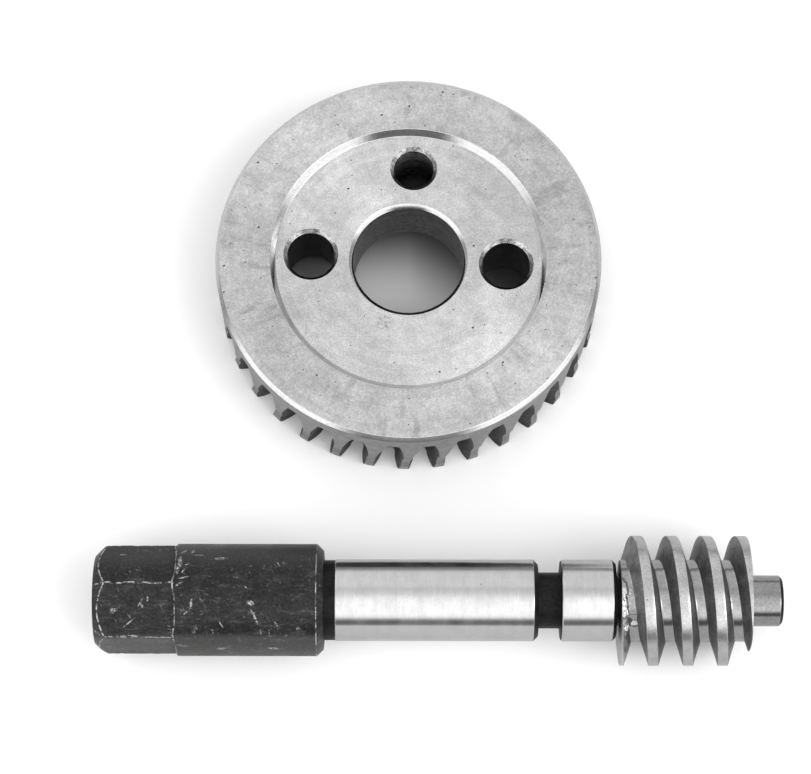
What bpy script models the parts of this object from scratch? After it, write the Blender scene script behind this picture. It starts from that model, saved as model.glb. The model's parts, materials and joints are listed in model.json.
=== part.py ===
"""Worm gear set: a throated worm wheel lying on its back face and, in front of it, a hex-ended worm shaft.

World frame: metres, +Z up. The origin is the middle of the set's footprint on the ground. The wheel's axis is
vertical and the shaft's axis runs along +X, with its hex at the -X end.
Every length below is in millimetres and every angle in degrees. MM turns a length into metres.
"""

import math

import bmesh
import bpy
from mathutils import Vector

MM = 0.001
FIT_GAP = 0.3  # between pieces that touch on the real set

# Gear pair
TEETH = 34
AXIAL_PITCH = 6.8  # the worm has one start, so this is also its lead
PITCH_RADIUS = TEETH * AXIAL_PITCH / (2 * math.pi)
CENTRE_DISTANCE = 46.8  # wheel axis to worm axis when the pair is in mesh
MESH_HEIGHT = 4.7  # the worm axis's height above the wheel's back face when the pair is in mesh

# Worm, right-hand
WORM_RADIUS = 12.75
WORM_ROOT_RADIUS = 8.0
WORM_LENGTH = 24.95
CREST_WIDTH = 2.0
FLANK_ANGLE = 17.0
CREST_FROM_START = 3.3  # where a crest's middle stands at the angle below
CREST_ANGLE = 18.1  # about the shaft, from +Y towards +Z

# Hob that cut the wheel: a little larger than the worm
HOB_TIP_RADIUS = 13.2
HOB_ROOT_RADIUS = 8.15
HOB_EXTRA_WIDTH = 0.15

# Wheel
WHEEL_RADIUS = 39.0
WHEEL_THICKNESS = 19.5
RIM_CHAMFER = 0.8
BACK_CHAMFER = 0.3
RECESS_RADIUS = 28.0
RECESS_DEPTH = 1.3
RECESS_WALL_RUN = 1.1  # how far the recess's wall slopes inwards
BACK_RECESS_DEPTH = 4.0
BORE_RADIUS = 11.25
BORE_CHAMFER = 0.8
EDGE_BREAK = 0.3
TOOTH_TURN = -0.6  # where a tooth's middle stands at the mesh height, from -Y towards +X

# Holes at three of the four quarter-turn places round the bore
HOLE_CIRCLE_RADIUS = 19.8
HOLE_TURN = -3.0
BOLT_HOLE_RADIUS = 4.8
TAPPED_HOLE_RADIUS = 4.05
HOLE_CHAMFER = 0.75

# Shaft lengths, from the hex end to the plain end
HEX_LENGTH = 16.05
COLLAR_LENGTH = 28.7
RELIEF_LENGTH = 2.25
LONG_JOURNAL_LENGTH = 39.75
GROOVE_LENGTH = 4.4
SHORT_JOURNAL_LENGTH = 11.1
WORM_GAP = 0.6  # between the short journal and the worm
SPIGOT_PAST_WORM = 6.85
SHAFT_LENGTH = (
    HEX_LENGTH
    + COLLAR_LENGTH
    + RELIEF_LENGTH
    + LONG_JOURNAL_LENGTH
    + GROOVE_LENGTH
    + SHORT_JOURNAL_LENGTH
    + WORM_GAP
    + WORM_LENGTH
    + SPIGOT_PAST_WORM
)

# Shaft radii and edges
HEX_ACROSS_FLATS = 19.0
HEX_CORNER_ANGLE = 26.0  # about the shaft, from +Y towards +Z
HEX_FACE_RADIUS = 8.7  # where the end face meets the 45 degree chamfer on the hex's corners
COLLAR_RADIUS = 11.0
COLLAR_CHAMFER = 1.3
RELIEF_RADIUS = 7.85
JOURNAL_RADIUS = 8.0
JOURNAL_CHAMFER = 0.9
SHORT_JOURNAL_CHAMFER = 0.7
GROOVE_RADIUS = 5.5
SPIGOT_RADIUS = 5.0
SPIGOT_RELIEF_RADIUS = 4.82
SPIGOT_RELIEF_LENGTH = 2.5
SPIGOT_CHAMFER = 0.6

# Half-moon key between the spigot and the worm. It points down.
KEY_WIDTH = 3.0
KEY_DISC_RADIUS = 6.5
KEY_BOTTOM = 1.2  # this and the next are distances from the shaft's axis
KEY_TOP = 6.2

# Layout on the ground
AXES_APART = 69.6  # from the wheel's axis to the shaft's, seen from above
WHEEL_X = -6.075  # the wheel's axis, from the middle of the shaft
SHAFT_Z = WORM_RADIUS + 0.05
SHAFT_Y = WORM_RADIUS - (WORM_RADIUS + AXES_APART + WHEEL_RADIUS) / 2
WHEEL_Y = SHAFT_Y + AXES_APART

# Facets
WHEEL_SEGMENTS = 3 * TEETH
SHAFT_SEGMENTS = 72
THREAD_SEGMENTS = 48  # in one turn
HOLE_SEGMENTS = 36
BORE_SEGMENTS = 48
KEY_SEGMENTS = 16
GAP_LEVELS = 7
FLANK_POINTS = 4
THROAT_POINTS = 5
SWEEP_ANGLE = 24.0  # how far either side of the centre line a flank is followed
SWEEP_STEPS = 60
PAST = 1.0  # how far a cutter runs past the face that it cuts
SHARP_ANGLE = 28.0


def clear_scene():
    for obj in list(bpy.data.objects):
        bpy.data.objects.remove(obj, do_unlink=True)


def steel(name, colour, roughness, metallic):
    material = bpy.data.materials.new(name)
    material.use_nodes = True
    shader = material.node_tree.nodes["Principled BSDF"]
    shader.inputs["Base Color"].default_value = (*colour, 1.0)
    shader.inputs["Roughness"].default_value = roughness
    shader.inputs["Metallic"].default_value = metallic
    return material


def new_object(name, shape, parent):
    """An object from a bmesh whose points are in millimetres, with its faces turned outwards."""
    bmesh.ops.recalc_face_normals(shape, faces=shape.faces)
    bmesh.ops.scale(shape, vec=Vector((MM, MM, MM)), verts=shape.verts)
    mesh = bpy.data.meshes.new(name)
    shape.to_mesh(mesh)
    shape.free()
    obj = bpy.data.objects.new(name, mesh)
    obj.parent = parent
    bpy.context.scene.collection.objects.link(obj)
    return obj


def new_axis(name, location, turn_about_y):
    """An empty on a piece's axis. Its local Z runs along that axis."""
    axis = bpy.data.objects.new(name, None)
    axis.location = Vector(location) * MM
    axis.rotation_euler = (0.0, math.radians(turn_about_y), 0.0)
    bpy.context.scene.collection.objects.link(axis)
    return axis


def cut(obj, name, shape):
    """Takes a shape away from the object with a Boolean and a hidden cutter."""
    cutter = new_object(name, shape, obj.parent)
    cutter.hide_render = True
    cutter.display_type = "WIRE"
    modifier = obj.modifiers.new(name, "BOOLEAN")
    modifier.operation = "DIFFERENCE"
    modifier.solver = "EXACT"
    modifier.object = cutter


def finish(obj, material):
    """Freezes the cuts, removes the cutters and shades the round faces smooth."""
    graph = bpy.context.evaluated_depsgraph_get()
    cutters = [modifier.object for modifier in obj.modifiers]
    mesh = bpy.data.meshes.new_from_object(obj.evaluated_get(graph))
    obj.modifiers.clear()
    obj.data = mesh
    for cutter in cutters:
        bpy.data.objects.remove(cutter, do_unlink=True)
    mesh.materials.clear()
    mesh.materials.append(material)
    mesh.shade_smooth()
    mesh.set_sharp_from_angle(angle=math.radians(SHARP_ANGLE))


def join_shapes(shapes):
    """One bmesh that holds several separate bodies."""
    joined = bmesh.new()
    for shape in shapes:
        bmesh.ops.recalc_face_normals(shape, faces=shape.faces)
        mesh = bpy.data.meshes.new("body")
        shape.to_mesh(mesh)
        shape.free()
        joined.from_mesh(mesh)
        bpy.data.meshes.remove(mesh)
    return joined


def loft(rings, capped=True):
    """A body through rings of equal length. It is capped at both ends, or else its last ring meets its first."""
    shape = bmesh.new()
    rows = [[shape.verts.new(point) for point in ring] for ring in rings]
    following = rows[1:] if capped else rows[1:] + rows[:1]
    for row, after in zip(rows, following):
        for index in range(len(row)):
            beside = (index + 1) % len(row)
            shape.faces.new((row[index], row[beside], after[beside], after[index]))
    if capped:
        shape.faces.new(rows[0])
        shape.faces.new(rows[-1])
    return shape


def turned(profile, segments, centre=(0.0, 0.0), capped=True):
    """A turned body about a line along local Z. The profile is a list of (radius, height)."""
    angles = [2 * math.pi * step / segments for step in range(segments)]
    rings = []
    for radius, height in profile:
        rings.append(
            [(centre[0] + radius * math.cos(a), centre[1] + radius * math.sin(a), height) for a in angles]
        )
    return loft(rings, capped)


# Worm wheel


def thread_width(radius):
    """Axial width of the worm's thread at a distance from the worm's axis."""
    return CREST_WIDTH + 2 * (WORM_RADIUS - radius) * math.tan(math.radians(FLANK_ANGLE))


def gap_floor(height):
    """The wheel's radius at the bottom of a tooth gap."""
    return CENTRE_DISTANCE - math.sqrt(HOB_TIP_RADIUS**2 - (height - MESH_HEIGHT) ** 2)


def gap_edge(radius, height, side):
    """Angle of one edge of a tooth gap, from the gap's middle at the mesh height. The side is +1 or -1.

    The hob's thread sweeps past as the wheel turns. The edge is the furthest that the thread's flank reaches.
    """
    rise = height - MESH_HEIGHT
    reached = []
    for step in range(-SWEEP_STEPS, SWEEP_STEPS + 1):
        place = math.radians(SWEEP_ANGLE) * step / SWEEP_STEPS
        across = CENTRE_DISTANCE - radius * math.cos(place)
        from_hob_axis = math.hypot(across, rise)
        if from_hob_axis > HOB_TIP_RADIUS + 0.001:
            continue
        lead_shift = AXIAL_PITCH * math.atan2(rise, across) / (2 * math.pi)
        half_width = (thread_width(from_hob_axis) + HOB_EXTRA_WIDTH) / 2
        hob_travel = radius * math.sin(place) - lead_shift - side * half_width
        reached.append(side * (place - hob_travel / PITCH_RADIUS))
    return side * max(reached)


def tooth_gap(turn):
    """The cutter for one tooth gap. The gap's middle is turned from -Y towards +X by an angle in radians."""
    outside = WHEEL_RADIUS + 0.5
    arch_top = MESH_HEIGHT + math.sqrt(HOB_TIP_RADIUS**2 - (CENTRE_DISTANCE - outside) ** 2)
    rings = []
    for level in range(GAP_LEVELS + 1):
        share = math.sin(0.5 * math.pi * level / GAP_LEVELS)
        height = -PAST + (arch_top - 0.01 + PAST) * share
        floor = gap_floor(height)
        radii = [floor + (outside - floor) * step / (FLANK_POINTS - 1) for step in range(FLANK_POINTS)]
        edges = [(radius, gap_edge(radius, height, -1)) for radius in reversed(radii)]
        edges += [(radius, gap_edge(radius, height, 1)) for radius in radii]
        rings.append([(r * math.sin(turn + a), -r * math.cos(turn + a), height) for r, a in edges])
    return loft(rings)


def wheel_section():
    """The wheel's half-section as a closed loop of (radius, height), with the hob's throat in its rim."""
    throat_angle = math.acos((CENTRE_DISTANCE - WHEEL_RADIUS) / HOB_ROOT_RADIUS)
    angles = [throat_angle * (2 * step / (THROAT_POINTS - 1) - 1) for step in range(THROAT_POINTS)]
    throat = []
    for angle in angles:
        radius = CENTRE_DISTANCE - HOB_ROOT_RADIUS * math.cos(angle)
        throat.append((radius, MESH_HEIGHT + HOB_ROOT_RADIUS * math.sin(angle)))
    recess_floor = WHEEL_THICKNESS - RECESS_DEPTH
    return [
        (RECESS_RADIUS, 0.0),
        (WHEEL_RADIUS - BACK_CHAMFER, 0.0),
        (WHEEL_RADIUS, BACK_CHAMFER),
        *throat,
        (WHEEL_RADIUS, WHEEL_THICKNESS - RIM_CHAMFER),
        (WHEEL_RADIUS - RIM_CHAMFER, WHEEL_THICKNESS),
        (RECESS_RADIUS, WHEEL_THICKNESS),
        (RECESS_RADIUS - RECESS_WALL_RUN, recess_floor),
        (BORE_RADIUS + BORE_CHAMFER, recess_floor),
        (BORE_RADIUS, recess_floor - BORE_CHAMFER),
        (BORE_RADIUS, BACK_RECESS_DEPTH + EDGE_BREAK),
        (BORE_RADIUS + EDGE_BREAK, BACK_RECESS_DEPTH),
        (RECESS_RADIUS, BACK_RECESS_DEPTH),
    ]


def face_hole(quarter, radius):
    """Cutter for a hole through the web with a chamfered mouth in the front recess's floor."""
    angle = math.radians(90.0 * quarter + HOLE_TURN)
    centre = (HOLE_CIRCLE_RADIUS * math.cos(angle), HOLE_CIRCLE_RADIUS * math.sin(angle))
    mouth = WHEEL_THICKNESS - RECESS_DEPTH
    profile = [
        (radius + EDGE_BREAK + PAST, BACK_RECESS_DEPTH - PAST),
        (radius, BACK_RECESS_DEPTH + EDGE_BREAK),
        (radius, mouth - HOLE_CHAMFER),
        (radius + HOLE_CHAMFER + PAST, mouth + PAST),
    ]
    return turned(profile, HOLE_SEGMENTS, centre)


def make_worm_wheel(axis):
    wheel = new_object("worm_wheel", turned(wheel_section(), WHEEL_SEGMENTS, capped=False), axis)
    one_tooth = 2 * math.pi / TEETH
    first_gap = math.radians(TOOTH_TURN) + one_tooth / 2
    cut(wheel, "tooth_gaps", join_shapes([tooth_gap(first_gap + k * one_tooth) for k in range(TEETH)]))
    hole_radii = [BOLT_HOLE_RADIUS, TAPPED_HOLE_RADIUS, BOLT_HOLE_RADIUS]
    cut(wheel, "face_holes", join_shapes([face_hole(quarter, radius) for quarter, radius in enumerate(hole_radii)]))
    finish(wheel, steel("turned_grey_steel", (0.60, 0.60, 0.59), 0.38, 1.0))


# Worm shaft. Its local Z runs along world +X with its middle at zero, and its local X points down.


HEX_START = -SHAFT_LENGTH / 2
HEX_END = HEX_START + HEX_LENGTH
COLLAR_END = HEX_END + COLLAR_LENGTH
RELIEF_END = COLLAR_END + RELIEF_LENGTH
LONG_JOURNAL_END = RELIEF_END + LONG_JOURNAL_LENGTH
GROOVE_END = LONG_JOURNAL_END + GROOVE_LENGTH
SHORT_JOURNAL_END = GROOVE_END + SHORT_JOURNAL_LENGTH
WORM_START = SHORT_JOURNAL_END + WORM_GAP
WORM_END = WORM_START + WORM_LENGTH
WORM_MIDDLE = (WORM_START + WORM_END) / 2
SPIGOT_END = WORM_END + SPIGOT_PAST_WORM


def about_shaft(radius, angle):
    """Local (x, y) at a radius and at an angle in degrees about the shaft, from world +Y towards +Z."""
    return -radius * math.sin(math.radians(angle)), radius * math.cos(math.radians(angle))


def shaft_outline():
    """The shaft's turned outline as (radius, distance along). The hex is cut from the first length afterwards."""
    relief_on_spigot = SHORT_JOURNAL_END + SPIGOT_RELIEF_LENGTH
    return [
        (HEX_FACE_RADIUS, HEX_START),
        (COLLAR_RADIUS, HEX_START + COLLAR_RADIUS - HEX_FACE_RADIUS),
        (COLLAR_RADIUS, COLLAR_END - COLLAR_CHAMFER),
        (COLLAR_RADIUS - COLLAR_CHAMFER, COLLAR_END),
        (RELIEF_RADIUS, COLLAR_END),
        (RELIEF_RADIUS, RELIEF_END),
        (JOURNAL_RADIUS, RELIEF_END),
        (JOURNAL_RADIUS, LONG_JOURNAL_END - JOURNAL_CHAMFER),
        (JOURNAL_RADIUS - JOURNAL_CHAMFER, LONG_JOURNAL_END),
        (GROOVE_RADIUS, LONG_JOURNAL_END),
        (GROOVE_RADIUS, GROOVE_END),
        (JOURNAL_RADIUS - EDGE_BREAK, GROOVE_END),
        (JOURNAL_RADIUS, GROOVE_END + EDGE_BREAK),
        (JOURNAL_RADIUS, SHORT_JOURNAL_END - SHORT_JOURNAL_CHAMFER),
        (JOURNAL_RADIUS - SHORT_JOURNAL_CHAMFER, SHORT_JOURNAL_END),
        (SPIGOT_RELIEF_RADIUS, SHORT_JOURNAL_END),
        (SPIGOT_RELIEF_RADIUS, relief_on_spigot),
        (SPIGOT_RADIUS, relief_on_spigot),
        (SPIGOT_RADIUS, SPIGOT_END - SPIGOT_CHAMFER),
        (SPIGOT_RADIUS - SPIGOT_CHAMFER, SPIGOT_END),
    ]


def hex_ring():
    """A ring with a hexagonal hole. Taking it away from the shaft's end leaves the hex."""
    corner = HEX_ACROSS_FLATS / math.sqrt(3)
    outside = COLLAR_RADIUS + 3.0
    corners = [HEX_CORNER_ANGLE + 60.0 * k for k in range(6)]
    section = [(corner, HEX_START - PAST), (corner, HEX_END), (outside, HEX_END), (outside, HEX_START - PAST)]
    return loft([[(*about_shaft(radius, angle), x) for angle in corners] for radius, x in section], capped=False)


def half_moon(disc_radius, width):
    """A flat-topped slice of a disc on edge below the shaft's axis, as the key and its seat are."""
    middle = KEY_BOTTOM + KEY_DISC_RADIUS
    half_turn = math.acos((middle - KEY_TOP) / disc_radius)
    angles = [half_turn * (2 * step / KEY_SEGMENTS - 1) for step in range(KEY_SEGMENTS + 1)]
    outline = [(middle - disc_radius * math.cos(a), WORM_MIDDLE + disc_radius * math.sin(a)) for a in angles]
    return loft([[(below, y, along) for below, along in outline] for y in (-width / 2, width / 2)])


def make_worm_shaft(axis):
    shaft = new_object("worm_shaft", turned(shaft_outline(), SHAFT_SEGMENTS), axis)
    cut(shaft, "hex_flats", hex_ring())
    cut(shaft, "key_seat", half_moon(KEY_DISC_RADIUS + FIT_GAP, KEY_WIDTH + 2 * FIT_GAP))
    finish(shaft, steel("black_oxide_and_ground_steel", (0.07, 0.07, 0.07), 0.40, 0.7))


def make_worm_key(axis):
    key = new_object("worm_key", half_moon(KEY_DISC_RADIUS, KEY_WIDTH), axis)
    finish(key, steel("bright_key_steel", (0.50, 0.50, 0.50), 0.35, 1.0))


def threaded_bar():
    """The worm's thread on its root bar, cut square at both ends.

    Each column of points follows the thread's section along the bar at one angle. The last column meets the first
    column's next turn.
    """
    base_width = thread_width(WORM_ROOT_RADIUS)
    section = [
        (WORM_ROOT_RADIUS, -base_width / 2),
        (WORM_RADIUS, -CREST_WIDTH / 2),
        (WORM_RADIUS, CREST_WIDTH / 2),
        (WORM_ROOT_RADIUS, base_width / 2),
    ]
    crest = WORM_START + CREST_FROM_START
    turns = range(-3, math.ceil(WORM_LENGTH / AXIAL_PITCH) + 2)
    shape = bmesh.new()
    columns = []
    for step in range(THREAD_SEGMENTS):
        share = step / THREAD_SEGMENTS
        angle = CREST_ANGLE + 360.0 * share
        column = []
        for turn in turns:
            middle = crest + (turn + share) * AXIAL_PITCH
            column += [shape.verts.new((*about_shaft(radius, angle), middle + offset)) for radius, offset in section]
        columns.append(column)
    neighbours = columns[1:] + [columns[0][len(section) :]]
    for column, after in zip(columns, neighbours):
        for row in range(min(len(column), len(after)) - 1):
            shape.faces.new((column[row], after[row], after[row + 1], column[row + 1]))
    cut_square(shape, WORM_START, -1.0)
    cut_square(shape, WORM_END, 1.0)
    return shape


def cut_square(shape, along, outwards):
    """Cuts an open bar off at a place along local Z and closes it there."""
    everything = shape.verts[:] + shape.edges[:] + shape.faces[:]
    line = bmesh.ops.bisect_plane(
        shape, geom=everything, plane_co=(0, 0, along), plane_no=(0, 0, outwards), clear_outer=True
    )
    rim = [item for item in line["geom_cut"] if isinstance(item, bmesh.types.BMEdge)]
    bmesh.ops.edgeloop_fill(shape, edges=rim)


def make_worm(axis):
    worm = new_object("worm", threaded_bar(), axis)
    ends = (WORM_START - PAST, WORM_END + PAST)
    cut(worm, "worm_bore", turned([(SPIGOT_RADIUS + FIT_GAP, end) for end in ends], BORE_SEGMENTS))
    half_width = KEY_WIDTH / 2 + FIT_GAP
    top = KEY_TOP + FIT_GAP
    corners = [(0.0, -half_width), (top, -half_width), (top, half_width), (0.0, half_width)]
    cut(worm, "worm_keyway", loft([[(x, y, end) for x, y in corners] for end in ends]))
    finish(worm, steel("dark_hobbed_steel", (0.28, 0.28, 0.28), 0.38, 1.0))


def main():
    clear_scene()
    wheel_axis = new_axis("wheel_axis", (WHEEL_X, WHEEL_Y, 0.0), 0.0)
    shaft_axis = new_axis("shaft_axis", (0.0, SHAFT_Y, SHAFT_Z), 90.0)
    make_worm_wheel(wheel_axis)
    make_worm_shaft(shaft_axis)
    make_worm(shaft_axis)
    make_worm_key(shaft_axis)


main()
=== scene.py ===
import json
import math
import random

import bmesh
import bpy
from mathutils import Matrix, Vector, noise


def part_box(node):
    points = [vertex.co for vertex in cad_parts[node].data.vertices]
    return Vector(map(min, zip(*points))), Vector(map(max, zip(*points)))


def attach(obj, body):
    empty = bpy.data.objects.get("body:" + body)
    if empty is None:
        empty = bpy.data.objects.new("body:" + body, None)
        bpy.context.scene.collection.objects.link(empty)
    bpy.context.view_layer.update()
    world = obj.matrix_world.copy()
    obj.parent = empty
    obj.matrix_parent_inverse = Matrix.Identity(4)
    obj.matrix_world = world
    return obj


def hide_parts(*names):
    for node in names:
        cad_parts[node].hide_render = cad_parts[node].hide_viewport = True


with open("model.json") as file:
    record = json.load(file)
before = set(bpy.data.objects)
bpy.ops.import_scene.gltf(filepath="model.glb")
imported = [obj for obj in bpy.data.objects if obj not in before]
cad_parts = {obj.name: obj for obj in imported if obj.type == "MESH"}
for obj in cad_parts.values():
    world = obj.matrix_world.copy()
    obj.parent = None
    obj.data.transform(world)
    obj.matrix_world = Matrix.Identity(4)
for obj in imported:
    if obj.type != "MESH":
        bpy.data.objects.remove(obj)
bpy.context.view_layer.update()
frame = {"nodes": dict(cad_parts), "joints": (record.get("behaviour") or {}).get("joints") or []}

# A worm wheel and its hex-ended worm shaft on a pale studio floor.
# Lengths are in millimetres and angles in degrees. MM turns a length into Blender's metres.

MM = 0.001

# Places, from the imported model
WHEEL_LOW, WHEEL_HIGH = (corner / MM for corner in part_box("worm_wheel"))
WHEEL_X = (WHEEL_LOW.x + WHEEL_HIGH.x) / 2
WHEEL_Y = (WHEEL_LOW.y + WHEEL_HIGH.y) / 2
WHEEL_RADIUS = (WHEEL_HIGH.x - WHEEL_LOW.x) / 2
WHEEL_THICKNESS = WHEEL_HIGH.z
SHAFT_AXIS = Vector(frame["joints"][0]["pos_m"]) / MM
SHAFT_LOW, SHAFT_HIGH = (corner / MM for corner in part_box("worm_shaft"))
WORM_LOW, WORM_HIGH = (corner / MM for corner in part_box("worm"))
WORM_START = WORM_LOW.x
WORM_END = WORM_HIGH.x
WORM_RADIUS = SHAFT_AXIS.z - WORM_LOW.z
KEY_LOW, KEY_HIGH = (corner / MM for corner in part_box("worm_key"))

# Gear pair
TEETH = 34
AXIAL_PITCH = 6.8
PITCH_RADIUS = TEETH * AXIAL_PITCH / (2 * math.pi)
CENTRE_DISTANCE = 46.8
MESH_HEIGHT = 4.7
HOB_TIP_RADIUS = 13.2
HOB_ROOT_RADIUS = 8.15
HOB_EXTRA_WIDTH = 0.15
HOB_UNEVENNESS = 0.05
GAP_TOP = 15.35  # how high a tooth gap reaches on the wheel's outside
WORM_ROOT_RADIUS = 8.0
CREST_WIDTH = 2.0
FLANK_ANGLE = 17.0
CREST_FROM_START = 3.3
CREST_ANGLE = 18.1  # about the shaft, from +Y towards +Z

# Wheel
RIM_CHAMFER = 0.8
RECESS_RADIUS = 28.0
RECESS_DEPTH = 1.3
RECESS_WALL_RUN = 1.1
BACK_RECESS_DEPTH = 4.0
BORE_RADIUS = 11.25
BORE_CHAMFER = 0.8
EDGE_BREAK = 0.3
TOOTH_TURN = -0.6
HOLE_CIRCLE_RADIUS = 19.8
HOLE_TURN = -3.0
BOLT_HOLE_RADIUS = 4.8
TAPPED_HOLE_RADIUS = 4.05
TAPPED_THREAD_PITCH = 1.25
TAPPED_THREAD_DEPTH = 0.55
HOLE_CHAMFER = 0.75

# Shaft stations, from the hex end
HEX_START = SHAFT_LOW.x
HEX_END = HEX_START + 16.05
COLLAR_END = HEX_END + 28.7
RELIEF_END = COLLAR_END + 2.25
LONG_JOURNAL_END = RELIEF_END + 39.75
GROOVE_END = LONG_JOURNAL_END + 4.4
SHORT_JOURNAL_END = GROOVE_END + 10.85
SPIGOT_END = SHAFT_HIGH.x
HEX_ACROSS_FLATS = 19.0
HEX_CORNER_ANGLE = 26.0
HEX_FACE_RADIUS = 8.7
COLLAR_RADIUS = 11.0
COLLAR_CHAMFER = 1.3
RELIEF_RADIUS = 7.85
JOURNAL_RADIUS = 8.0
JOURNAL_CHAMFER = 0.9
SHORT_JOURNAL_CHAMFER = 0.7
GROOVE_RADIUS = 5.5
SPIGOT_RADIUS = 5.0
SPIGOT_RELIEF_RADIUS = 4.82
SPIGOT_CHAMFER = 0.6
HEX_CORNER_CUT = 0.08
HEX_CORNER_BLEND = 0.25
HEX_END_BLEND = 0.2
DENTS_PER_CORNER = 9
KEY_DISC_RADIUS = 6.5
FIT_GAP = 0.3  # round the key and in the worm's bore

# The worm's left end, where the thread is cut away
RUNOUT_LENGTH = 5.0
RUNOUT_HEIGHT = 3.0
RUNOUT_UNEVENNESS = 0.3
LEDGE_ANGLES = (72.0, 152.0)
LEDGE_HEIGHT = 0.35

# Fineness
WHEEL_SEGMENTS = 12 * TEETH
SHAFT_SEGMENTS = 360
THREAD_SEGMENTS = 160
HOLE_SEGMENTS = 96
GAP_LEVELS = 18
FLANK_POINTS = 9
THROAT_STEPS = 12
HOB_SWEEP_STEPS = 40
HOB_SWEEP_ANGLE = 24.0
WORM_BORE_SEGMENTS = 128
KEY_SEAT_STEPS = 32
WHEEL_ROUNDING = 0.07
SHAFT_ROUNDING = 0.09
THREAD_ROUNDING = 0.12
SHAFT_STRETCH = 0.3
THREAD_STRETCH = 0.45
SHARP_ANGLE = 32.0

# Camera
CAMERA_ELEVATION = 71.89
CAMERA_YAW = -0.24
CAMERA_ROLL = -0.13
CAMERA_DISTANCE = 600.0
CAMERA_TARGET = Vector((WHEEL_X - 0.57, WHEEL_Y - 21.3, 0.0))
CAMERA_LENS = 129.28
SENSOR_WIDTH = 36.0
CAMERA_NEAREST = 10.0

# Floor
FLOOR_SIZE = 4000.0
FLOOR_DROP = 0.02
FLOOR_TO_CAMERA = 0.97
FLOOR_TO_STEEL = 0.62
# The painted shade on the floor under the wheel, at its darkest
FLOOR_PAINTED_SHADE = 0.15  # as a share, under the wheel

# The studio's brightness by elevation in degrees, at the front and then further and further round.
# Each later one takes over between two angles from the front.
FRONT_LIGHT = [
    (0, 0.4), (6, 0.15), (14, 0.15), (20, 0.5), (26, 1.35), (34, 1.7), (48, 1.65), (60, 1.4), (90, 1.1)
]
CORNER_LIGHT = [(0, 1.1), (8, 1.5), (30, 1.75), (60, 1.4), (90, 1.1)]
SIDE_LIGHT = [(0, 0.35), (12, 0.45), (28, 0.9), (60, 1.0), (90, 1.1)]
BACK_LIGHT = [(0, 0.25), (6, 0.35), (12, 0.80), (18, 0.98), (60, 1.02), (71, 0.82), (80, 0.95), (90, 1.1)]
LIGHTS_ROUND_THE_SIDE = [
    (17.0, 36.0, CORNER_LIGHT),
    (74.0, 95.0, SIDE_LIGHT),
    (112.0, 140.0, BACK_LIGHT),
]

# A brighter patch of the studio's light, at the right
LAMP_DIRECTION = (0.60, -0.29, 0.745)
LAMP_OUTER_ANGLE = 26.0
LAMP_INNER_ANGLE = 8.0
LAMP_BRIGHTNESS = 2.8


# Meshes


def put_in_scene(name, mesh):
    obj = bpy.data.objects.new(name, mesh)
    bpy.context.scene.collection.objects.link(obj)
    return obj


def make_object(name, shape):
    """An object from a bmesh in millimetres, with its faces turned outwards."""
    bmesh.ops.recalc_face_normals(shape, faces=shape.faces)
    bmesh.ops.scale(shape, vec=Vector((MM, MM, MM)), verts=shape.verts)
    mesh = bpy.data.meshes.new(name)
    shape.to_mesh(mesh)
    shape.free()
    return put_in_scene(name, mesh)


def apply_modifiers(obj):
    graph = bpy.context.evaluated_depsgraph_get()
    mesh = bpy.data.meshes.new_from_object(obj.evaluated_get(graph))
    obj.modifiers.clear()
    obj.data = mesh


def carve(obj, shapes):
    """Takes shapes away from the object, one Boolean for each, and applies them."""
    cutters = []
    for number, shape in enumerate(shapes):
        cutter = make_object(f"{obj.name}_cutter_{number}", shape)
        modifier = obj.modifiers.new(cutter.name, "BOOLEAN")
        modifier.operation = "DIFFERENCE"
        modifier.solver = "MANIFOLD"
        modifier.object = cutter
        cutters.append(cutter)
    apply_modifiers(obj)
    for cutter in cutters:
        bpy.data.objects.remove(cutter, do_unlink=True)


def shade(obj, materials, choose):
    """Gives the object its materials. choose(centre, normal) picks one for a face, in millimetres."""
    mesh = obj.data
    mesh.materials.clear()
    for material in materials:
        mesh.materials.append(material)
    for face in mesh.polygons:
        face.material_index = choose(face.center / MM, face.normal)
    mesh.shade_smooth()
    mesh.set_sharp_from_angle(angle=math.radians(SHARP_ANGLE))
    flatter = obj.modifiers.new("normals_from_large_faces", "WEIGHTED_NORMAL")
    flatter.keep_sharp = True
    apply_modifiers(obj)


def join_shapes(shapes):
    joined = bmesh.new()
    for shape in shapes:
        bmesh.ops.recalc_face_normals(shape, faces=shape.faces)
        mesh = bpy.data.meshes.new("body")
        shape.to_mesh(mesh)
        shape.free()
        joined.from_mesh(mesh)
        bpy.data.meshes.remove(mesh)
    return joined


def loft(rings, capped=True):
    """A body through rings of equal length, capped at both ends or closed from the last to the first."""
    shape = bmesh.new()
    rows = [[shape.verts.new(point) for point in ring] for ring in rings]
    following = rows[1:] if capped else rows[1:] + rows[:1]
    for row, after in zip(rows, following):
        for index in range(len(row)):
            beside = (index + 1) % len(row)
            shape.faces.new((row[index], row[beside], after[beside], after[index]))
    if capped:
        shape.faces.new(rows[0])
        shape.faces.new(rows[-1])
    return shape


def round_corners(outline, radius, closed=False):
    """Replaces each corner of a list of 2-D points with three points of a small curve."""
    points = [Vector(point) for point in outline]
    rounded = []
    for index, point in enumerate(points):
        if not closed and index in (0, len(points) - 1):
            rounded.append(point)
            continue
        before = points[index - 1] - point
        after = points[(index + 1) % len(points)] - point
        reach = min(radius, 0.4 * before.length, 0.4 * after.length)
        start = point + before.normalized() * reach
        end = point + after.normalized() * reach
        rounded += [start, (start + 2 * point + end) / 4, end]
    return rounded


def divide(outline, longest):
    """Adds points so that no stretch of the outline is longer than this."""
    divided = [outline[0]]
    for start, end in zip(outline, outline[1:]):
        parts = max(1, math.ceil((end - start).length / longest))
        divided += [start.lerp(end, part / parts) for part in range(1, parts + 1)]
    return divided


def full_turn(steps):
    return [2 * math.pi * step / steps for step in range(steps)]


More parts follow.
